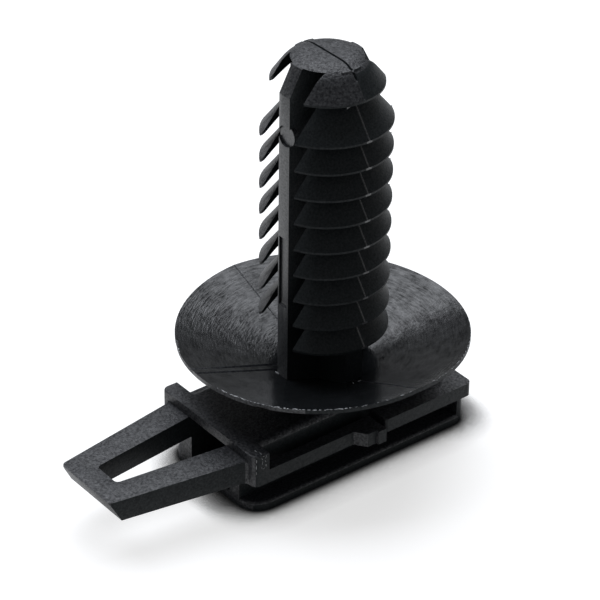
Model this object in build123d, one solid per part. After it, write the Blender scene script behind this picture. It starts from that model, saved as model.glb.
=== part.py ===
from build123d import *
from math import cos, radians, sin, tan
import os

# Fir tree connector clip, moulded in one piece.
# Sizes in millimetres. Z runs up the tree. The tongue points towards -X.
# The origin is on the underside of the foot, on the axis of the tree.

# Heights, counted up from the surface that the clip stands on
foot_height = 0.62
groove_height = 1.8          # height of the groove between foot and rails
rail_thickness = 0.93
tongue_thickness = 1.55
collar_rise = 0.62           # collar above the face of the tongue
block_rise = 1.1             # central block above the rails
tree_top = 26.93             # flat top of the tree

# Lower body
foot_width = 8.6
foot_front = -8.65           # end under the tongue
foot_corner = 1.45
foot_edge = 0.22             # rounding of the upper edge of the foot
neck_width = 5.9
end_wall_width = 8.3
end_wall_face = 8.25
end_wall_thickness = 0.65
end_wall_corner = 0.5
end_wall_cove = 0.5          # hollow between the neck and the end wall
pocket_width = 3.78          # also the width of the window at its root
pocket_depth = 5.0

# Rails, springy side arms and their detents
rail_width = 9.96
rail_start = 1.08
rail_start_corner = 0.2
rail_end = 8.05
rail_end_corner = 0.4
rail_end_edge = 0.16         # rounding of the lower edge at the end
arm_width = 9.46             # over both arms
arm_thickness = 0.8
arm_tip = 0.56
detent_reach = 0.74
detent_length = 1.83
detent_ramp = 0.53
detent_lip = 0.2             # last step of the detent
detent_lip_length = 0.6
detent_lip_slope = 0.05

# Central block under the disc
block_width = 6.9
block_length = 14.6
block_edge = 0.5
stem_diameter = 5.4

# Collar and tongue
collar_front = -8.82
collar_thickness = 1.1
collar_corner = 0.42
tongue_tip = -17.75
tongue_tip_width = 5.0
tongue_root_width = 7.84
tongue_corner = 0.4
tongue_slant = 0.76          # how far the lower edge of the tip is set back
tongue_lift = 0.1            # rise of the lower face towards the tip
tongue_fillet = 0.36
window_tip = -16.2
window_tip_width = 2.0
window_corner = 0.3

# Flexible disc: a shallow cone, each half of which droops a little towards its own end of the clip
disc_diameter = 18.16
disc_slope = 22.4            # degrees above level
disc_root_thickness = 0.6
disc_rim_thickness = 0.28
disc_droop = 2.4             # degrees, about Y
disc_tilt = 1.15             # degrees, lifts the side towards -Y

# Cruciform core of the tree
core_width = 6.32            # across the main web
main_web = 0.98
cross_web = 1.29
cross_web_width = 5.3
cross_foot_width = 6.1       # below the lowest barb
web_shoulder = 1.88          # below the top of the tree, where the main web starts to narrow
web_top_width = 4.6

# Barbs
barb_diameter = 8.0
far_barb_diameter = 7.88
barb_pitch = 1.77
far_row_drop = 1.0           # far row below the near row
barb_drop = 4.11             # from the top of the tree to the rim of the highest full barb
near_barbs = 9
far_barbs = 8
barb_slope = 53              # outer face, degrees below level
barb_under_slope = 40.5      # lower face, degrees below level
barb_rim = 0.13
barb_flat = 1.65             # half distance between the cut faces
far_barb_corner = 0.22       # rounding of the cut corners on the far side, seen from above

# Head: a cap over the webs and a smaller barb on each side, all of one rounded form
head_diameter = 6.88
far_head_diameter = 6.74
head_drop = 1.75             # from the top of the tree to the rims of the head
head_slope = 55
head_under_slope = 35
head_flat = 1.25             # radius of the flat top
cap_thickness = 0.25

# Marks that the mould leaves on the front edge of the main web
pin_diameter = 1.34
pin_drop = 4.48              # centre below the top of the tree
pin_depth = 0.17
pin_boss = 0.35              # thickness of the boss behind the pin mark
pin_offset = -0.14
recess_bottom = 10.75
recess_top = 15.52
recess_depth = 0.16
recess_lip = 0.12

# Levels and positions that follow from the sizes above
rail_bottom = foot_height + groove_height
rail_top = rail_bottom + rail_thickness
tongue_top = rail_bottom + tongue_thickness
collar_top = tongue_top + collar_rise
block_top = rail_top + block_rise
collar_back = collar_front + collar_thickness
end_wall_inner = end_wall_face - end_wall_thickness
disc_radius = disc_diameter / 2
core_front = -core_width / 2
near_barb_level = tree_top - barb_drop
far_barb_level = near_barb_level - far_row_drop
cap_bottom = tree_top - cap_thickness


def bar(x0, x1, width, z0, z1):
    """Straight bar centred on the XZ plane, between two X and two Z positions."""
    return Pos((x0 + x1) / 2, 0, (z0 + z1) / 2) * Box(x1 - x0, width, z1 - z0)


def plan(points, z0, z1):
    """Prism from an outline in the XY plane."""
    outline = Polyline([(x, y, z0) for x, y in points], close=True)
    return extrude(make_face(outline), amount=z1 - z0, dir=(0, 0, 1))


def drop(run, angle):
    """Height that a face falls over a run, at an angle in degrees below level."""
    return run * tan(radians(angle))


def upright_edges(shape, x):
    """Upright edges at one X position."""
    return shape.edges().filter_by(Axis.Z).filter_by_position(Axis.X, x - 0.01, x + 0.01)


def foot():
    """Foot plate with two full corners under the tongue, its upper edge softened as far as the end wall."""
    plate = bar(foot_front, end_wall_inner, foot_width, 0, foot_height)
    plate = fillet(upright_edges(plate, foot_front), foot_corner)
    upper_edges = plate.edges().group_by(Axis.Z)[-1].sort_by(Axis.X)
    return fillet(upper_edges[:-1], foot_edge)


def end_wall():
    """Wall that closes both grooves at the end away from the tongue, with a cove on each side."""
    wall = bar(end_wall_inner, end_wall_face, end_wall_width, 0, rail_bottom)
    wall = fillet(upright_edges(wall, end_wall_face), end_wall_corner)
    near_x = end_wall_inner - end_wall_cove
    for side in (1, -1):
        neck_y = side * neck_width / 2
        far_y = neck_y + side * end_wall_cove
        corner = plan([(end_wall_inner, neck_y), (near_x, neck_y), (end_wall_inner, far_y)], 0, rail_bottom)
        wall += corner - Pos(near_x, far_y) * extrude(Circle(end_wall_cove), rail_bottom)
    return wall


def lower_body():
    """Foot, neck and end wall, which leave a groove along each side."""
    return foot() + bar(foot_front, end_wall_inner, neck_width, 0, rail_bottom) + end_wall()


def pocket():
    """Pocket under the collar, open towards the tongue and into its window."""
    return bar(collar_front, collar_front + pocket_depth, pocket_width, foot_height, tongue_top)


def rails():
    """Plate that carries the two rails: the overlap of its plan and its side view."""
    plate = bar(rail_start, rail_end, rail_width, rail_bottom, rail_top)
    plate = fillet(upright_edges(plate, rail_end), rail_end_corner)
    plate = fillet(upright_edges(plate, rail_start), rail_start_corner)
    side_view = bar(rail_start, rail_end, 2 * rail_width, rail_bottom, rail_top)
    lower_end = side_view.edges().filter_by(Axis.Y).sort_by(Axis.X)[-2:].sort_by(Axis.Z)[0]
    plate = plate & fillet(lower_end, rail_end_edge)
    return plate + bar(collar_back, rail_start, block_width, rail_bottom, rail_top)


def arm(side):
    """Springy side arm with its detent; side is 1 for +Y and -1 for -Y."""
    outer = arm_width / 2
    inner = outer - arm_thickness
    crest = outer + detent_reach
    ramp = arm_tip - detent_length
    lip = arm_tip - detent_lip_length
    outline = [
        (collar_back, inner), (collar_back, outer), (ramp, outer), (ramp + detent_ramp, crest),
        (lip - detent_lip_slope, crest), (lip, crest + detent_lip), (arm_tip, crest + detent_lip),
        (arm_tip, inner),
    ]
    return plan([(x, side * y) for x, y in outline], rail_bottom, rail_top)


def central_block():
    """Block between the rails and the disc, with its long edges rounded, and the stem of the tree."""
    block = bar(collar_back, collar_back + block_length, block_width, rail_bottom, block_top)
    block = fillet(block.edges().filter_by(Axis.X).group_by(Axis.Z)[-1], block_edge)
    return block + Pos(0, 0, rail_top) * extrude(Circle(stem_diameter / 2), block_rise)


def tongue():
    """Tapered tongue: the overlap of its plan and its side view."""
    tip = tongue_tip_width / 2
    root = tongue_root_width / 2
    plate = plan([
        (tongue_tip, -tip), (collar_front, -root), (collar_back, -root),
        (collar_back, root), (collar_front, root), (tongue_tip, tip),
    ], rail_bottom, tongue_top)
    plate = fillet(upright_edges(plate, tongue_tip), tongue_corner)
    side_view = make_face(Polyline([
        (tongue_tip, 0, tongue_top), (collar_back, 0, tongue_top), (collar_back, 0, rail_bottom),
        (collar_front, 0, rail_bottom), (tongue_tip + tongue_slant, 0, rail_bottom + tongue_lift),
    ], close=True))
    return plate & extrude(side_view, tongue_root_width, both=True)


def window():
    """Window through the tongue, as wide as the pocket at its root."""
    opening = plan([
        (window_tip, -window_tip_width / 2), (collar_front, -pocket_width / 2),
        (collar_front, pocket_width / 2), (window_tip, window_tip_width / 2),
    ], rail_bottom, tongue_top)
    return fillet(upright_edges(opening, window_tip), window_corner)


def collar():
    """Upright collar at the root of the tongue, with a hollow fillet on each side of the tongue."""
    plate = bar(collar_front, collar_back, arm_width, rail_bottom, collar_top)
    plate = fillet(upright_edges(plate, collar_front), collar_corner)
    hollow_x = collar_front - tongue_fillet
    overlap = tongue_fillet * (tongue_root_width - tongue_tip_width) / 2 / (collar_front - tongue_tip)
    for side in (1, -1):
        inner_y = side * (tongue_root_width / 2 - overlap)
        outer_y = inner_y + side * tongue_fillet
        corner = plan([(collar_front, inner_y), (hollow_x, inner_y), (collar_front, outer_y)],
                      rail_bottom, tongue_top)
        hollow = Pos(hollow_x, outer_y, rail_bottom) * extrude(Circle(tongue_fillet), tongue_thickness)
        plate += corner - hollow
    return plate


def disc():
    """Thin flexible disc: two halves of a shallow cone that meet above the cross web."""
    rise = drop(disc_radius, disc_slope)
    cone = revolve(make_face(Polyline([
        (0, 0, -rise), (disc_radius, 0, 0), (disc_radius, 0, -disc_rim_thickness),
        (0, 0, -rise - disc_root_thickness),
    ], close=True)), Axis.Z)
    one_side = Pos(disc_diameter / 2, 0, 0) * Box(disc_diameter, 2 * disc_diameter, 4 * rise)
    half = Rot(0, disc_droop, 0) * cone & one_side
    return Pos(0, 0, block_top + rise) * Rot(-disc_tilt, 0, 0) * (half + mirror(half, Plane.YZ))


def core():
    """Cruciform core, narrowed at the top to meet the cap."""
    half = core_width / 2
    lowest_barb = near_barb_level - (near_barbs - 1) * barb_pitch
    envelope = revolve(make_face(Polyline([
        (0, 0, rail_top), (half, 0, rail_top), (half, 0, tree_top - web_shoulder),
        (web_top_width / 2, 0, cap_bottom), (0, 0, (cap_bottom + tree_top) / 2),
    ], close=True)), Axis.Z)
    cross = bar(core_front, -core_front, main_web, rail_top, tree_top)
    cross += bar(-cross_web / 2, cross_web / 2, cross_web_width, rail_top, tree_top)
    cross += bar(-cross_web / 2, cross_web / 2, cross_foot_width, rail_top, lowest_barb)
    return cross & envelope


def barb_cone(diameter):
    """Thin hollow cone of one barb, with its rim at height zero and a level top."""
    radius = diameter / 2
    inner = barb_flat * 0.9
    ceiling = drop(radius - barb_flat, barb_slope)
    return revolve(make_face(Polyline([
        (radius, 0, 0), (barb_flat, 0, ceiling), (inner, 0, ceiling),
        (inner, 0, drop(radius - inner, barb_under_slope) - barb_rim), (radius, 0, -barb_rim),
    ], close=True)), Axis.Z)


def head_form():
    """Whole round form of the head, with the rim at height zero: a cone that rounds into a flat top."""
    radius = head_diameter / 2
    inner = barb_flat * 0.9
    under = drop(radius - inner, head_under_slope) - barb_rim
    corner = radius - head_drop / drop(1, head_slope)
    tangent_length = corner - head_flat
    end_x = corner + tangent_length * cos(radians(head_slope))
    end_z = head_drop - tangent_length * sin(radians(head_slope))
    shoulder = TangentArc([(head_flat, 0, head_drop), (end_x, 0, end_z)], tangent=(1, 0, 0))
    outline = Polyline([
        (end_x, 0, end_z), (radius, 0, 0), (radius, 0, -barb_rim), (inner, 0, under),
        (0, 0, under), (0, 0, head_drop), (head_flat, 0, head_drop),
    ])
    return revolve(make_face([shoulder, outline]), Axis.Z)


def beyond_cut(side, diameter):
    """Upright prism that holds a barb beyond its cut face: sharp corners near, rounded ones far."""
    outline = Pos(0, barb_flat) * Rectangle(2 * diameter, diameter, align=(Align.CENTER, Align.MIN))
    if side > 0:
        outline = Circle(diameter / 2) & outline
        outline = fillet(outline.vertices(), far_barb_corner)
    prism = Pos(0, 0, -diameter / 2) * extrude(outline, 2 * diameter)
    return prism if side > 0 else mirror(prism, Plane.XZ)


def head():
    """Head of the tree: the round form, kept beyond the cut faces and as a cap between them."""
    cap_prism = Pos(0, 0, head_drop - cap_thickness) * extrude(Circle(head_diameter), head_drop)
    keep = cap_prism + beyond_cut(-1, head_diameter) + beyond_cut(1, far_head_diameter)
    return Pos(0, 0, tree_top - head_drop) * (head_form() & keep)


def barbs():
    """Both rows of barbs, the far row between the levels of the near row."""
    near = barb_cone(barb_diameter) & beyond_cut(-1, barb_diameter)
    far = barb_cone(far_barb_diameter) & beyond_cut(1, far_barb_diameter)
    row = [Pos(0, 0, near_barb_level - k * barb_pitch) * near for k in range(near_barbs)]
    return row + [Pos(0, 0, far_barb_level - k * barb_pitch) * far for k in range(far_barbs)]


def web_marks(tree):
    """Sunk pin mark with its boss, and a shallow recess, on the front edge of the main web."""
    at_pin = Pos(core_front, pin_offset, tree_top - pin_drop) * Rot(0, 90, 0)
    pin = at_pin * extrude(Circle(pin_diameter / 2), pin_depth)
    boss = at_pin * Pos(0, 0, pin_depth) * extrude(Circle(pin_diameter / 2), pin_boss)
    recess = Box(2 * recess_depth, main_web - 2 * recess_lip, recess_top - recess_bottom)
    recess = fillet(recess.edges().filter_by(Axis.Y).group_by(Axis.Z)[0], recess_depth * 0.95)
    return tree + boss - pin - Pos(core_front, 0, (recess_bottom + recess_top) / 2) * recess


def clip():
    """The whole clip as one solid."""
    base = lower_body() + rails() + central_block() + arm(1) + arm(-1) + collar() + tongue()
    base -= [pocket(), window()]
    tree = web_marks(core() + head() + barbs())
    return base + disc() + tree


os.makedirs("parts", exist_ok=True)
solid = clip()
print("solids", len(solid.solids()), "volume", round(solid.volume, 2))
print("box", solid.bounding_box())
export_step(solid, "parts/clip.step")
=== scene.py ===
from math import atan2, cos, pi, radians, sin, tan
from random import Random

import bpy
from mathutils import Matrix, Vector


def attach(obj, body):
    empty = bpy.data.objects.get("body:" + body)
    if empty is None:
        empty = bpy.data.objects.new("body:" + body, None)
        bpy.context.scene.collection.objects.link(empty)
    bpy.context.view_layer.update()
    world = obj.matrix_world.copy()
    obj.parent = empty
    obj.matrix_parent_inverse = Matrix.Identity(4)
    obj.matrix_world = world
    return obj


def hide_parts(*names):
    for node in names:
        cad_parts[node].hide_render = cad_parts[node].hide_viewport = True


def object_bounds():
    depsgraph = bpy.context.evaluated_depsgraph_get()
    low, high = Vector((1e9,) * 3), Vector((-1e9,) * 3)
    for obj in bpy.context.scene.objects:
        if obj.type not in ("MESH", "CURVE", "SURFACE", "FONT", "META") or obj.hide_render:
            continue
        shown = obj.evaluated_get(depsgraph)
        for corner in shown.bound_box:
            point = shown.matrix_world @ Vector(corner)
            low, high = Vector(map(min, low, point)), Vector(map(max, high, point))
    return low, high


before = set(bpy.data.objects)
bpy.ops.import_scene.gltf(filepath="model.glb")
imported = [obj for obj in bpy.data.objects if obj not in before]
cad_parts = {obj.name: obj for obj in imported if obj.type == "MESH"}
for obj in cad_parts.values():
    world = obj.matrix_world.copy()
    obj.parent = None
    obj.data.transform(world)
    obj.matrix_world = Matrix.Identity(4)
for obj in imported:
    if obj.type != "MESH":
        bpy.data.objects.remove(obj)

bl_info = {
    "name": "Fir tree connector clip",
    "version": (1, 0, 0),
    "blender": (4, 5, 0),
    "location": "3D View > Sidebar > Clip",
    "description": "Dresses the moulded connector clip and lights it on a white table",
    "category": "Object",
}

MM = 0.001
NODE = "clip"
CAD_LOW, CAD_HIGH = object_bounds()
CREASE = radians(32)  # faces that meet at a wider angle than this meet at an edge of the moulding
TINY = 1e-7  # metres; closer than this counts as the same place

# Heights in millimetres
DISC_TOP = 9.0
BARBS_FROM, BARBS_TO = 8.0, 25.2
HEAD_SHOULDER = 26.2
CAP_FROM = 26.3

WITNESS_LINES = (0.87, 1.4)  # millimetres from the tree axis towards +Y

# Places of the finishes in the list of materials; the finish of the upright sides also carries painted shade,
# and the finish of the web's edge and the barb seams painted highlight
SPARK_ERODED, DRAWN_PAINTED_SHADE, POLISHED, GROUND_PAINTED_HIGHLIGHT = range(4)


def from_hex(text):
    """Linear RGB of an sRGB hex colour."""
    channels = [int(text[k:k + 2], 16) / 255 for k in (0, 2, 4)]
    return [c / 12.92 if c <= 0.04045 else ((c + 0.055) / 1.055) ** 2.4 for c in channels]


def length(name, description, mm):
    """Length property, stored in metres, with its default given in millimetres."""
    return bpy.props.FloatProperty(
        name=name, description=description, default=mm * MM, unit="LENGTH", precision=5)


def angle(name, description, degrees):
    """Angle property with its default given in degrees."""
    return bpy.props.FloatProperty(
        name=name, description=description, default=radians(degrees), subtype="ANGLE")


def colour(name, description, text):
    """Colour property whose default is an sRGB hex colour."""
    return bpy.props.FloatVectorProperty(
        name=name, description=description, default=from_hex(text), subtype="COLOR", size=3, min=0, max=1)


class ClipSizes(bpy.types.PropertyGroup):
    edge_radius: length("Edge softness", "How far each moulded edge is rounded", 0.04)
    handled_radius: length("Worn edge softness", "How far the edges of the tongue are rounded", 0.22)
    collar_round: length("Collar corner", "How far the upper corners of the collar are rounded", 0.28)
    parting_width: length("Parting line width", "Width of the ridge where the mould halves met", 0.11)
    parting_height: length("Parting line height", "How far that ridge stands out", 0.03)
    groove_width: length("Cap groove width", "Width of the split line across the cap", 0.16)
    groove_depth: length("Cap groove depth", "Depth of the split line across the cap", 0.16)
    witness_width: length(
        "Witness line width", "Width of the lines that the core insert left on the disc", 0.2)
    witness_depth: length("Witness line depth", "Depth of those lines", 0.07)
    disc_apex: length("Disc apex", "Height at which the upper cones of the disc would meet the axis", 4.45)
    disc_radius: length("Disc radius", "Radius of the disc", 9.08)
    disc_root: length("Disc root thickness", "Thickness that the disc would have on the axis", 0.6)
    disc_rim: length("Disc rim thickness", "Thickness of the disc at its rim", 0.28)
    disc_slope: angle("Disc slope", "Rise of the disc above level", 22.4)
    disc_droop: angle("Disc droop", "How far each half of the disc droops towards its end of the clip", 2.4)
    disc_tilt: angle("Disc tilt", "How far the disc leans about the X axis", 1.15)


class ClipColours(bpy.types.PropertyGroup):
    moulded: colour("Moulded black", "Black polyamide of the base and the tree", "202226")
    # Also painted shade: a darker, duller copy of the moulded black for the near barbs, the head's +X half and
    # the upright sides
    drawn_painted_shade: colour("Drawn black", "Black polyamide of the sides that slid out of the mould", "1E2224")
    disc: colour("Disc black", "Smoother black polyamide of the flexible disc", "1A1C1E")
    # Also painted highlight: a lighter copy of the moulded black for the web's edge and the seams of the near
    # barbs
    ground_painted_highlight: colour("Ground black", "Black polyamide of the edge of the web", "26292C")
    # Along the rim of the disc, flecks in this pale grey also stand in for the rim catching the light, as
    # painted highlight
    flash: colour("Torn flash", "Pale grey of flash that was stretched and torn", "9A9DA0")


class StageSettings(bpy.types.PropertyGroup):
    azimuth: bpy.props.FloatProperty(
        name="Azimuth", description="Camera direction round the clip",
        default=radians(-38.428), subtype="ANGLE")
    elevation: bpy.props.FloatProperty(
        name="Elevation", description="Camera height above the horizon",
        default=radians(32.431), subtype="ANGLE")
    roll: bpy.props.FloatProperty(
        name="Roll", description="Camera roll about its own axis",
        default=radians(0.6995), subtype="ANGLE")
    distance: length("Distance", "Camera distance from the point it looks at", 170.903)
    look_at: bpy.props.FloatVectorProperty(
        name="Look at", description="Point that the camera looks at",
        default=(-1.0507 * MM, 0.9525 * MM, 9.8876 * MM), subtype="TRANSLATION", unit="LENGTH", size=3)
    lens: bpy.props.FloatProperty(name="Lens", description="Focal length in millimetres", default=168.357)
    table: colour("Table", "White table as the camera sees it", "FFFFFF")
    # Painted shade near the clip: an ambient occlusion term darkens the shade part and the glow of the table,
    # within shade_reach and by the power shade_depth
    table_shade: colour("Table shade", "Part of the table's white that a shadow can take away", "C5C5C5")
    table_glow: bpy.props.FloatProperty(
        name="Table glow", description="Part of the table's white that only near things darken", default=0.66)
    shade_reach: length("Shade reach", "How near a thing shades the table from the room", 2.4)
    shade_depth: bpy.props.FloatProperty(
        name="Shade depth", description="How strongly the table darkens within that reach", default=8.0)
    table_bounce: colour("Table bounce", "How much light the table throws back at the clip", "747474")
    softbox_strength: bpy.props.FloatProperty(
        name="Softbox", description="Brightness of the softbox as the clip sees it", default=3.5)
    room_glow: bpy.props.FloatProperty(
        name="Room glow", description="Brightness of the even light from all sides", default=0.21)


def choose_nothing():
    """Leaves no object selected and none in edit mode."""
    if bpy.context.object and bpy.context.object.mode != "OBJECT":
        bpy.ops.object.mode_set(mode="OBJECT")
    bpy.ops.object.select_all(action="DESELECT")


def choose(piece):
    """Selects one object and makes it the active one."""
    choose_nothing()
    piece.select_set(True)
    bpy.context.view_layer.objects.active = piece


def add(tree, kind, inputs=None, **settings):
    """Adds a shader node with its settings; an input is a value or the socket that feeds it."""
    made = tree.nodes.new(kind)
    for name, value in settings.items():
        setattr(made, name, value)
    for name, value in (inputs or {}).items():
        if isinstance(value, bpy.types.NodeSocket):
            tree.links.new(value, made.inputs[name])
        else:
            made.inputs[name].default_value = value
    return made


def new_material(name):
    """Empty node material and the place where its shader goes."""
    made = bpy.data.materials.new(name)
    made.use_nodes = True
    made.node_tree.nodes.clear()
    return made, made.node_tree


def rgba(value):
    return (*value, 1)


def in_range(tree, value, low, high, to_low=0.0, to_high=1.0):
    """Stretches a value from one range onto another."""
    return add(tree, "ShaderNodeMapRange", {
        "Value": value, "From Min": low, "From Max": high,
        "To Min": to_low, "To Max": to_high}).outputs["Result"]


def grain_of(tree, place, grain_mm):
    """Fine grain of 0 to 1, whose specks are about as wide as given."""
    noise = add(tree, "ShaderNodeTexNoise", {
        "Vector": place, "Scale": 1 / (grain_mm * MM), "Detail": 2.0, "Roughness": 0.6}).outputs["Fac"]
    return in_range(tree, noise, 0.3, 0.7)


def rounds_of(tree, place, length_mm, width_mm, radius_mm):
    """Streaks of 0 to 1 that run round the tree axis, of a given length at a given radius."""
    flat = add(tree, "ShaderNodeVectorMath", {0: place, 1: (1, 1, 0)}, operation="MULTIPLY").outputs[0]
    radius = add(tree, "ShaderNodeVectorMath", {0: flat}, operation="LENGTH").outputs["Value"]
    heading = add(tree, "ShaderNodeVectorMath", {0: flat}, operation="NORMALIZE").outputs[0]
    heading = add(tree, "ShaderNodeVectorMath", {
        0: heading, "Scale": radius_mm / length_mm}, operation="SCALE").outputs[0]
    ring = add(tree, "ShaderNodeMath", {0: radius, 1: 1 / (width_mm * MM)}, operation="MULTIPLY").outputs[0]
    ring = add(tree, "ShaderNodeCombineXYZ", {"Z": ring}).outputs[0]
    turned = add(tree, "ShaderNodeVectorMath", {0: heading, 1: ring}, operation="ADD").outputs[0]
    noise = add(tree, "ShaderNodeTexNoise", {"Vector": turned, "Scale": 1.0, "Detail": 2.0, "Roughness": 0.6})
    return in_range(tree, noise.outputs["Fac"], 0.3, 0.7)


def mottled(tree, tint, grain, contrast):
    """Base colour that a grain makes darker and lighter."""
    return add(tree, "ShaderNodeMix", {
        "Factor": grain, "A": rgba([c * (1 - contrast) for c in tint]),
        "B": rgba([c * (1 + contrast) for c in tint])}, data_type="RGBA").outputs["Result"]


def plastic(tree, tint, grain, depth_mm, strength, roughness, gloss):
    """Plastic shader whose surface and gloss follow a grain; gloss is its lowest and highest level."""
    bump = add(tree, "ShaderNodeBump", {"Height": grain, "Strength": strength, "Distance": depth_mm * MM})
    shader = add(tree, "ShaderNodeBsdfPrincipled", {
        "Base Color": tint, "Roughness": roughness, "IOR": 1.5,
        "Specular IOR Level": in_range(tree, grain, 0, 1, *gloss),
        "Normal": bump.outputs["Normal"]})
    add(tree, "ShaderNodeOutputMaterial", {"Surface": shader.outputs["BSDF"]})


def spark_eroded_polyamide(colours):
    """Black polyamide from a spark-eroded cavity: a fine grain that scatters its sheen into grey speckle."""
    made, tree = new_material("spark_eroded_black_polyamide")
    place = add(tree, "ShaderNodeTexCoord").outputs["Object"]
    # Such a grain is taken as about 0.03 mm wide, less than a pixel, so this one is coarser
    grain = grain_of(tree, place, 0.15)
    plastic(tree, mottled(tree, colours.moulded, grain, 0.4), grain,
            depth_mm=0.02, strength=0.9, roughness=0.5, gloss=(0.2, 0.8))
    return made


def drawn_painted_shade_polyamide(colours):
    """The same polyamide where it slid out of the mould: closer and darker, with little sheen; its darkness and
    dull sheen are partly painted shade on faces turned from the light.
    """
    made, tree = new_material("drawn_painted_shade_black_polyamide")
    place = add(tree, "ShaderNodeTexCoord").outputs["Object"]
    grain = grain_of(tree, place, 0.13)  # coarser than it would be, to show at all
    plastic(tree, mottled(tree, colours.drawn_painted_shade, grain, 0.18), grain,
            depth_mm=0.008, strength=0.6, roughness=0.5, gloss=(0.1, 0.22))
    return made


def disc_polyamide(colours):
    """The same polyamide from a turned and polished cavity: smoother, with fine streaks round the disc."""
    made, tree = new_material("polished_black_polyamide")
    place = add(tree, "ShaderNodeTexCoord").outputs["Object"]
    rounds = rounds_of(tree, place, length_mm=0.6, width_mm=0.12, radius_mm=6)  # as in the photograph
    clouds = in_range(tree, add(tree, "ShaderNodeTexNoise", {
        "Vector": place, "Scale": 1 / (0.9 * MM), "Detail": 4.0, "Roughness": 0.7}).outputs["Fac"], 0.3, 0.7)
    both = add(tree, "ShaderNodeMix", {0: 0.55, 2: rounds, 3: clouds}).outputs[0]
    plastic(tree, mottled(tree, colours.disc, both, 0.6), both,
            depth_mm=0.018, strength=0.8, roughness=0.22, gloss=(0.0, 0.72))
    return made


def ground_painted_highlight_polyamide(colours):
    """The same polyamide against a steel edge finished by grinding: flatter, so that it mirrors the table more
    clearly; its lighter tint and stronger sheen are partly painted highlight.
    """
    made, tree = new_material("ground_painted_highlight_black_polyamide")
    place = add(tree, "ShaderNodeTexCoord").outputs["Object"]
    grain = grain_of(tree, place, 0.12)  # coarser than it would be, to show at all
    plastic(tree, mottled(tree, colours.ground_painted_highlight, grain, 0.4), grain,
            depth_mm=0.008, strength=0.6, roughness=0.34, gloss=(0.5, 0.95))
    return made


def torn_flash_and_painted_highlight(colours):
    """Thin flash that tore when the mould opened: stretched nylon turns pale and glints. Along the rim of the
    disc the same pale flecks are partly painted highlight, standing in for the rim catching the light.
    """
    made, tree = new_material("torn_nylon_flash_and_painted_highlight")
    place = add(tree, "ShaderNodeTexCoord").outputs["Object"]
    grain = grain_of(tree, place, 0.12)
    plastic(tree, mottled(tree, colours.flash, grain, 0.6), grain,
            depth_mm=0.01, strength=0.5, roughness=0.25, gloss=(0.5, 1.0))
    return made


def copy_of_moulding():
    """A copy of the CAD node with its loose triangles joined and its flat faces whole."""
    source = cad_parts[NODE]
    piece = bpy.data.objects.new("clip_moulding", source.data.copy())
    bpy.context.scene.collection.objects.link(piece)
    choose(piece)
    bpy.ops.mesh.customdata_custom_splitnormals_clear()
    bpy.ops.object.mode_set(mode="EDIT")
    bpy.ops.mesh.select_all(action="SELECT")
    bpy.ops.mesh.remove_doubles(threshold=0.001 * MM)
    bpy.ops.mesh.dissolve_limited(angle_limit=radians(0.5))
    bpy.ops.object.mode_set(mode="OBJECT")
    return piece


def round_edges(piece, wanted, radius, segments):
    """Rounds the sharp edges whose middle, in millimetres, passes a test."""
    choose(piece)
    bpy.ops.object.mode_set(mode="EDIT")
    bpy.ops.mesh.select_mode(type="EDGE")
    bpy.ops.mesh.select_all(action="DESELECT")
    bpy.ops.mesh.edges_select_sharp(sharpness=CREASE)
    bpy.ops.object.mode_set(mode="OBJECT")
    sharp = [edge.index for edge in piece.data.edges if edge.select]
    bpy.ops.object.mode_set(mode="EDIT")
    bpy.ops.mesh.select_all(action="DESELECT")
    bpy.ops.object.mode_set(mode="OBJECT")
    for index in sharp:
        edge = piece.data.edges[index]
        a, b = (piece.data.vertices[v].co / MM for v in edge.vertices)
        if wanted((a + b) / 2):
            edge.select = True
            for v in edge.vertices:
                piece.data.vertices[v].select = True
    bpy.ops.object.mode_set(mode="EDIT")
    bpy.ops.mesh.bevel(offset=radius, segments=segments, profile=0.5, affect="EDGES", clamp_overlap=True)
    bpy.ops.object.mode_set(mode="OBJECT")


def soften_edges(piece, width):
    """Rounds every sharp edge a little, as the mould leaves it."""
    choose(piece)
    soft = piece.modifiers.new("soft_edges", "BEVEL")
    soft.width = width
    soft.segments = 1
    soft.limit_method = "ANGLE"
    soft.angle_limit = CREASE
    soft.use_clamp_overlap = True
    soft.miter_outer = "MITER_ARC"
    bpy.ops.object.modifier_apply(modifier=soft.name)


def pick_faces(piece, wanted):
    """Selects the faces whose centre in millimetres and normal pass a test, in edit mode."""
    choose(piece)
    bpy.ops.object.mode_set(mode="EDIT")
    bpy.ops.mesh.select_mode(type="FACE")
    bpy.ops.mesh.select_all(action="DESELECT")
    bpy.ops.object.mode_set(mode="OBJECT")
    for face in piece.data.polygons:
        face.select = wanted(face.center / MM, face.normal)
    bpy.ops.object.mode_set(mode="EDIT")


def raise_line(piece, wanted, place, across, width, height):
    """Cuts a narrow strip into the chosen faces and lifts its middle, or sinks it for a negative height."""
    for shift in (-width / 2, width / 2, 0):
        pick_faces(piece, wanted)
        bpy.ops.mesh.select_mode(type="VERT")
        bpy.ops.mesh.bisect(
            plane_co=Vector(place) * MM + Vector(across) * shift, plane_no=across, threshold=TINY)
    bpy.ops.transform.shrink_fatten(value=height)
    bpy.ops.object.mode_set(mode="OBJECT")


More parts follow.
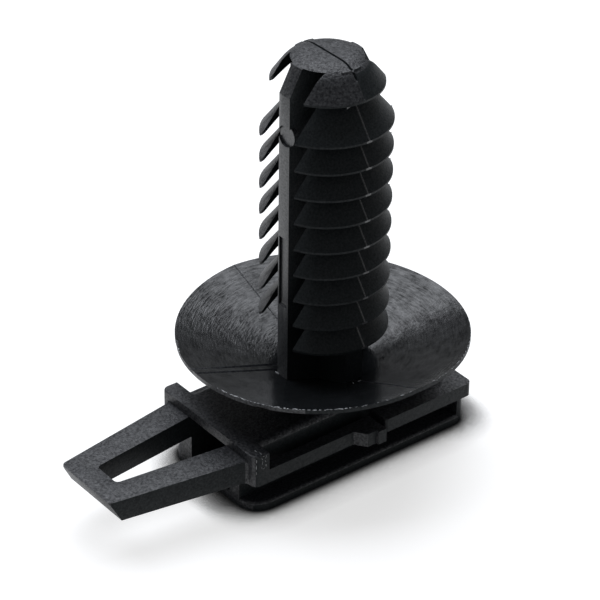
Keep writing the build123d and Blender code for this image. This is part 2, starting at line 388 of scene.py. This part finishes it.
def keep_inside(piece):
    """Flattens what the raised lines and flecks push out of the box of the CAD part."""
    for axis in range(3):
        for limit, side in ((CAD_LOW[axis], -1), (CAD_HIGH[axis], 1)):
            choose(piece)
            bpy.ops.object.mode_set(mode="EDIT")
            bpy.ops.mesh.select_mode(type="VERT")
            bpy.ops.mesh.select_all(action="DESELECT")
            bpy.ops.object.mode_set(mode="OBJECT")
            outside = [vertex for vertex in piece.data.vertices if (vertex.co[axis] - limit) * side > 0]
            for vertex in outside:
                vertex.select = True
            if outside:
                centre = [limit if k == axis else 0 for k in range(3)]
                bpy.ops.object.mode_set(mode="EDIT")
                bpy.ops.transform.resize(value=[float(k != axis) for k in range(3)], center_override=centre)
                bpy.ops.object.mode_set(mode="OBJECT")


def blend_shoulder(piece):
    """Lets the shading run on over the shoulder of the head, which the mould left round."""
    meets = {}
    for face in piece.data.polygons:
        for key in face.edge_keys:
            meets.setdefault(key, []).append(face.normal)
    for edge in piece.data.edges:
        a, b = (piece.data.vertices[v].co / MM for v in edge.vertices)
        first, second = meets[edge.key]
        in_groove = max(abs(a.x), abs(b.x)) <= 0.1
        if min(a.z, b.z) > HEAD_SHOULDER and min(first.z, second.z) > 0.5 and not in_groove:
            edge.use_edge_sharp = False


def disc_place(sizes, side):
    """Place of the cone that carries one half of the disc; side is 1 for +X and -1 for -X."""
    rise = sizes.disc_radius * tan(sizes.disc_slope)
    return (Matrix.Translation((0, 0, sizes.disc_apex + rise)) @ Matrix.Rotation(-sizes.disc_tilt, 4, "X")
            @ Matrix.Rotation(side * sizes.disc_droop, 4, "Y") @ Matrix.Translation((0, 0, -rise)))


def disc_normal(sizes, point, facing_up):
    """Normal of the disc at a point near it, and the point's distance from that face of the disc."""
    place = disc_place(sizes, 1 if point.x > 0 else -1)
    local = place.inverted() @ point
    slope, apex = sizes.disc_slope, 0
    if not facing_up:
        apex = -sizes.disc_root
        slope = atan2(sizes.disc_radius * tan(slope) - sizes.disc_rim - apex, sizes.disc_radius)
    turn = atan2(local.y, local.x)
    radius = Vector((local.x, local.y)).length
    normal = Vector((-sin(slope) * cos(turn), -sin(slope) * sin(turn), cos(slope)))
    away = (local.z - apex - radius * tan(slope)) * cos(slope)
    return place.to_3x3() @ (normal if facing_up else -normal), away


def on_disc(sizes, centre, normal, facing_up):
    """Tells whether a face, by its centre in millimetres and its normal, lies on one side of the disc."""
    true_normal, away = disc_normal(sizes, centre * MM, facing_up)
    return abs(away) < 0.06 * MM and true_normal.dot(normal) > 0.993 and centre.z < DISC_TOP


def true_disc_normals(piece, sizes):
    """Shades the disc as the true cones that its facets stand for."""
    normals = [corner.vector.copy() for corner in piece.data.corner_normals]
    for face in piece.data.polygons:
        facing_up = face.normal.z > 0
        if not on_disc(sizes, face.center / MM, face.normal, facing_up):
            continue
        side = TINY if face.center.x > 0 else -TINY
        for corner in face.loop_indices:
            point = piece.data.vertices[piece.data.loops[corner].vertex_index].co.copy()
            if abs(point.x) < TINY:
                point.x = side
            normals[corner] = disc_normal(sizes, point, facing_up)[0]
    piece.data.normals_split_custom_set(normals)


def mark_finishes(piece, sizes):
    """Gives each face the finish that its part of the mould left on it; the darker, duller finish of the near
    barbs, the head's +X half and the upright sides is partly painted shade, and the lighter, glossier finish of
    the web's edge and the barb seams is partly painted highlight.
    """
    for face in piece.data.polygons:
        centre = face.center / MM
        steep = face.normal.z < 0.75
        # The near barbs and the head's +X half take the darker, duller finish as painted shade; the upright
        # sides take it partly so
        near_barb_painted_shade = BARBS_FROM < centre.z < BARBS_TO and centre.y < -0.8 and steep
        half_head_painted_shade = centre.z >= BARBS_TO and centre.x > 0 and steep
        upright_side_painted_shade = abs(face.normal.y) > 0.72 and face.normal.z < 0.3
        # The seams of the near barbs take the lighter, glossier finish as painted highlight, the web's edge
        # partly so
        web_edge_painted_highlight = centre.z > 7 and abs(face.normal.x) > 0.9 and abs(centre.y) < 1.3
        barb_seam_painted_highlight = near_barb_painted_shade and abs(centre.x) < 0.08
        if any(on_disc(sizes, centre, face.normal, up) for up in (True, False)):
            face.material_index = POLISHED
        elif web_edge_painted_highlight or barb_seam_painted_highlight:
            face.material_index = GROUND_PAINTED_HIGHLIGHT
        elif near_barb_painted_shade or half_head_painted_shade or upright_side_painted_shade:
            face.material_index = DRAWN_PAINTED_SHADE
        else:
            face.material_index = SPARK_ERODED


class CLIP_OT_moulding(bpy.types.Operator):
    """Dress the one-piece moulding in softened edges, parting lines and plastic"""
    bl_idname = "clip.moulding"
    bl_label = "Moulding"

    def execute(self, context):
        sizes = context.scene.clip_sizes
        colours = context.scene.clip_colours
        piece = copy_of_moulding()
        round_edges(piece, lambda c: c.x < -7.74 and abs(c.y) > 4.25 and c.z > 4.5, sizes.collar_round, 4)
        round_edges(piece, lambda c: c.x < -8.9 and 2.3 < c.z < 5, sizes.handled_radius, 3)
        soften_edges(piece, sizes.edge_radius)
        width, height = sizes.parting_width, sizes.parting_height
        raise_line(piece, lambda c, n: c.z > CAP_FROM and n.z > 0.55, (0, 0, 0), (1, 0, 0),
                   sizes.groove_width, -sizes.groove_depth)
        raise_line(piece, lambda c, n: BARBS_FROM < c.z < CAP_FROM and 0.3 < n.z < 0.9 and abs(n.y) > 0.2,
                   (0, 0, 0), (1, 0, 0), width, height)
        raise_line(piece, lambda c, n: on_disc(sizes, c, n, True), (0, 0, 0), (1, 0, 0), width, height)
        for y in WITNESS_LINES:
            raise_line(piece, lambda c, n: c.x < 0 and on_disc(sizes, c, n, True), (0, y, 0), (0, 1, 0),
                       sizes.witness_width, -sizes.witness_depth)
        keep_inside(piece)
        bpy.ops.object.shade_smooth_by_angle(angle=CREASE)
        blend_shoulder(piece)
        piece.data.materials.clear()
        for finish in (spark_eroded_polyamide, drawn_painted_shade_polyamide, disc_polyamide, ground_painted_highlight_polyamide):
            piece.data.materials.append(finish(colours))
        mark_finishes(piece, sizes)
        true_disc_normals(piece, sizes)
        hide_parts(NODE)
        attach(piece, "root")
        return {"FINISHED"}


# Flecks of flash: place in mm; length, breadth and thickness in mm; heading and pitch in degrees
FLECKS = (
    ((-3.16, 0.45, 5.68), (0.40, 0.09, 0.07), 95, 0),
    ((-3.1, 0.05, 5.67), (0.30, 0.11, 0.09), 80, 10),
    ((-3.07, -0.28, 5.65), (0.20, 0.08, 0.07), 100, -10),
    ((-0.2, -2.88, 5.7), (0.30, 0.08, 0.07), 20, 20),
    ((-0.46, -3.6, 6.0), (0.34, 0.09, 0.07), 60, 15),
    ((0.47, -2.68, 5.62), (0.26, 0.08, 0.06), 120, 0),
    ((-0.06, -3.7, 6.05), (0.22, 0.07, 0.06), 170, 0),
    ((-8.7, -4.74, 4.38), (0.3, 0.04, 0.04), 0, 88),
    ((-8.71, -4.74, 3.94), (0.42, 0.035, 0.04), 0, 92),
    ((-8.7, -4.74, 3.5), (0.26, 0.04, 0.04), 0, 86),
    ((-8.3, -4.745, 4.4), (0.2, 0.045, 0.04), 0, 70),
    ((-8.27, -4.745, 4.08), (0.26, 0.035, 0.04), 0, 98),
    ((-8.31, -4.745, 3.74), (0.17, 0.045, 0.04), 0, 80),
    ((-8.0, -4.745, 4.45), (0.24, 0.05, 0.04), 0, 104),
    ((-8.03, -4.745, 4.12), (0.18, 0.04, 0.04), 0, 60),
    ((-7.99, -4.745, 3.82), (0.22, 0.05, 0.04), 0, 95),
    ((-8.16, -4.745, 4.53), (0.2, 0.04, 0.04), 0, 12),
    ((-8.14, -4.745, 3.64), (0.16, 0.04, 0.04), 0, -20),
    ((-8.22, -4.5, 4.6), (0.3, 0.05, 0.08), 84, 8),
    ((-8.3, -4.15, 4.6), (0.24, 0.05, 0.06), 96, 0),
    ((3.7, -1.5, 22.82), (0.12, 0.1, 0.08), 60, 0),
    ((3.72, -1.5, 21.03), (0.12, 0.1, 0.08), 60, 0),
    ((3.72, -1.5, 19.26), (0.12, 0.1, 0.08), 60, 0),
    ((3.72, -1.5, 17.49), (0.1, 0.1, 0.08), 60, 0),
    ((0.03, -3.36, 25.2), (0.16, 0.08, 0.1), 90, 0),
)


# Where the rim of the disc carries pale flecks, partly torn flash and partly painted highlight where the rim
# catches the light: from and to degrees round the tree, step in degrees, breadth in mm
RIM_FLASH_AND_PAINTED_HIGHLIGHT = ((156, 159, 1.5, 0.07), (188, 201, 1.9, 0.06), (201, 244, 1.5, 0.075), (244, 268, 4.2, 0.05),
            (279, 290, 3.5, 0.04), (290, 329, 2.1, 0.04))


def rim_flash_and_painted_highlight(sizes):
    """Pale flecks along the rim, each of its own length and lean: partly torn flash, partly painted highlight
    where the rim catches the light.
    """
    chance = Random(11)
    radius = sizes.disc_radius - 0.03 * MM
    for start, stop, step, breadth in RIM_FLASH_AND_PAINTED_HIGHLIGHT:
        turn = start
        while turn < stop:
            heading = radians(turn)
            place = disc_place(sizes, 1 if cos(heading) > 0 else -1) @ Vector(
                (radius * cos(heading), radius * sin(heading), radius * tan(sizes.disc_slope)))
            size = (chance.uniform(0.12, 0.42), breadth * chance.uniform(0.6, 1.3),
                    breadth * chance.uniform(0.5, 1))
            yield place / MM, size, turn + 90 + chance.uniform(-12, 12), chance.uniform(-14, 14)
            turn += step * chance.uniform(0.6, 1.6)


class CLIP_OT_flecks(bpy.types.Operator):
    """Set the small flecks of torn flash on the barbs, the web's foot and the end of the collar, and the pale
    flecks on the rim that are partly painted highlight
    """
    bl_idname = "clip.flecks"
    bl_label = "Flash flecks"

    def execute(self, context):
        bpy.ops.mesh.primitive_ico_sphere_add(subdivisions=1, radius=0.5 * MM, location=(0, 0, 0))
        piece = bpy.context.object
        piece.name = "flash_and_painted_highlight_flecks"
        bpy.ops.object.mode_set(mode="EDIT")
        bpy.ops.mesh.select_all(action="SELECT")
        bpy.ops.mesh.delete(type="VERT")
        flecks = (*FLECKS, *rim_flash_and_painted_highlight(context.scene.clip_sizes))
        for seed, (place, size, heading, pitch) in enumerate(flecks):
            bpy.ops.mesh.primitive_ico_sphere_add(subdivisions=1, radius=0.5 * MM, location=(0, 0, 0))
            bpy.ops.transform.vertex_random(offset=0.16 * MM, uniform=1, seed=seed)
            bpy.ops.transform.resize(value=size, center_override=(0, 0, 0))
            bpy.ops.transform.rotate(value=-radians(pitch), orient_axis="Y", center_override=(0, 0, 0))
            bpy.ops.transform.rotate(value=-radians(heading), orient_axis="Z", center_override=(0, 0, 0))
            bpy.ops.transform.translate(value=Vector(place) * MM)
        bpy.ops.object.mode_set(mode="OBJECT")
        keep_inside(piece)
        piece.data.materials.append(torn_flash_and_painted_highlight(context.scene.clip_colours))
        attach(piece, "root")
        return {"FINISHED"}


def camera_axes(stage):
    """Right, up and back of the camera, before its roll."""
    az, el = stage.azimuth, stage.elevation
    back = Vector((sin(az) * cos(el), -cos(az) * cos(el), sin(el)))
    right = Vector((cos(az), sin(az), 0))
    return right, back.cross(right), back


def add_camera(stage):
    """Camera at the photograph's angle."""
    right, up, back = camera_axes(stage)
    turn = Matrix.Rotation(stage.roll, 3, back)
    place = Vector(stage.look_at) + back * stage.distance
    bpy.ops.object.camera_add(location=place)
    camera = bpy.context.object
    camera.name = "photo_camera"
    axes = Matrix((turn @ right, turn @ up, back)).transposed()
    camera.rotation_euler = axes.to_euler()
    camera.data.lens = stage.lens
    camera.data.sensor_width = 36
    camera.data.clip_start = 0.01
    camera.data.clip_end = 10
    bpy.context.scene.camera = camera


def table_material(stage):
    """White table: full white where the camera, a mirror or glass sees it, and less where it lights the clip.
    Near the clip an ambient occlusion term darkens its glow and its lit part as painted shade.
    """
    made, tree = new_material("white_table")
    path = add(tree, "ShaderNodeLightPath")
    seen = add(tree, "ShaderNodeMath", {
        0: path.outputs["Is Camera Ray"], 1: path.outputs["Is Glossy Ray"]}, operation="MAXIMUM")
    seen = add(tree, "ShaderNodeMath", {0: seen.outputs[0], 1: path.outputs["Is Transmission Ray"]},
               operation="MAXIMUM")
    # Painted shade near the clip: ambient occlusion raised to a power darkens the lit part and the glow
    open_sky = add(tree, "ShaderNodeAmbientOcclusion", {"Distance": stage.shade_reach}, samples=8)
    painted_contact_shade = add(tree, "ShaderNodeMath", {
        0: open_sky.outputs["AO"], 1: stage.shade_depth}, operation="POWER")
    shade = add(tree, "ShaderNodeVectorMath", {
        0: stage.table_shade, "Scale": painted_contact_shade.outputs[0]}, operation="SCALE")
    tone = add(tree, "ShaderNodeMix", {
        "Factor": seen.outputs[0], "A": rgba(stage.table_bounce), "B": shade.outputs[0]}, data_type="RGBA")
    lit = add(tree, "ShaderNodeBsdfDiffuse", {"Color": tone.outputs["Result"]})
    # The glow too is darkened by that painted shade
    level = add(tree, "ShaderNodeMath", {0: seen.outputs[0], 1: painted_contact_shade.outputs[0]}, operation="MULTIPLY")
    level = add(tree, "ShaderNodeMath", {0: level.outputs[0], 1: stage.table_glow}, operation="MULTIPLY")
    glow = add(tree, "ShaderNodeEmission", {"Color": rgba(stage.table), "Strength": level.outputs[0]})
    both = add(tree, "ShaderNodeAddShader", {0: lit.outputs["BSDF"], 1: glow.outputs["Emission"]})
    add(tree, "ShaderNodeOutputMaterial", {"Surface": both.outputs["Shader"]})
    return made


def add_softbox(name, direction, distance, width, height, strength):
    """Area light that faces the clip from a direction."""
    place = Vector(direction).normalized() * distance + Vector((0, 0, 0.01))
    bpy.ops.object.light_add(type="AREA", location=place)
    lamp = bpy.context.object
    lamp.name = name
    lamp.data.shape = "RECTANGLE"
    lamp.data.size = width
    lamp.data.size_y = height
    lamp.data.energy = strength * width * height * pi
    lamp.data.color = (0.96, 0.99, 1.05)  # a little cool, as the greys of the photograph are
    lamp.rotation_euler = (-Vector(direction)).to_track_quat("-Z", "Y").to_euler()
    return lamp


class CLIP_OT_stage(bpy.types.Operator):
    """Set the white table, the soft lights and the camera"""
    bl_idname = "clip.stage"
    bl_label = "Stage"

    def execute(self, context):
        stage = context.scene.clip_stage
        choose_nothing()
        bpy.ops.mesh.primitive_circle_add(vertices=96, radius=4, fill_type="NGON", location=(0, 0, 0))
        table = bpy.context.object
        table.name = "table"
        table.data.materials.append(table_material(stage))
        world = bpy.data.worlds.new("studio")
        context.scene.world = world
        world.use_nodes = True
        world.node_tree.nodes.clear()
        glow = add(world.node_tree, "ShaderNodeBackground", {"Color": (1, 1, 1, 1), "Strength": stage.room_glow})
        add(world.node_tree, "ShaderNodeOutputWorld", {"Surface": glow.outputs["Background"]})
        add_softbox(
            "top_back_softbox", (0.1759, 0.4353, 0.8829), 0.5, 0.62, 0.45, stage.softbox_strength)
        add_camera(stage)
        context.scene.view_settings.view_transform = "Standard"
        return {"FINISHED"}


class CLIP_PT_panel(bpy.types.Panel):
    bl_idname = "CLIP_PT_panel"
    bl_label = "Connector clip"
    bl_space_type = "VIEW_3D"
    bl_region_type = "UI"
    bl_category = "Clip"

    def draw(self, context):
        scene = context.scene
        for group in (scene.clip_sizes, scene.clip_colours, scene.clip_stage):
            for name in group.__annotations__:
                self.layout.prop(group, name)
        for made in PIECES:
            self.layout.operator(made.bl_idname)


PIECES = (CLIP_OT_moulding, CLIP_OT_flecks, CLIP_OT_stage)
GROUPS = {"clip_sizes": ClipSizes, "clip_colours": ClipColours, "clip_stage": StageSettings}


def register():
    for made in (*GROUPS.values(), *PIECES, CLIP_PT_panel):
        bpy.utils.register_class(made)
    for name, group in GROUPS.items():
        setattr(bpy.types.Scene, name, bpy.props.PointerProperty(type=group))


def unregister():
    for name in GROUPS:
        delattr(bpy.types.Scene, name)
    for made in reversed((*GROUPS.values(), *PIECES, CLIP_PT_panel)):
        bpy.utils.unregister_class(made)


def main():
    register()
    choose_nothing()
    bpy.ops.clip.moulding()
    choose_nothing()
    bpy.ops.clip.flecks()
    bpy.ops.clip.stage()
    choose_nothing()


if __name__ == "__main__":
    main()
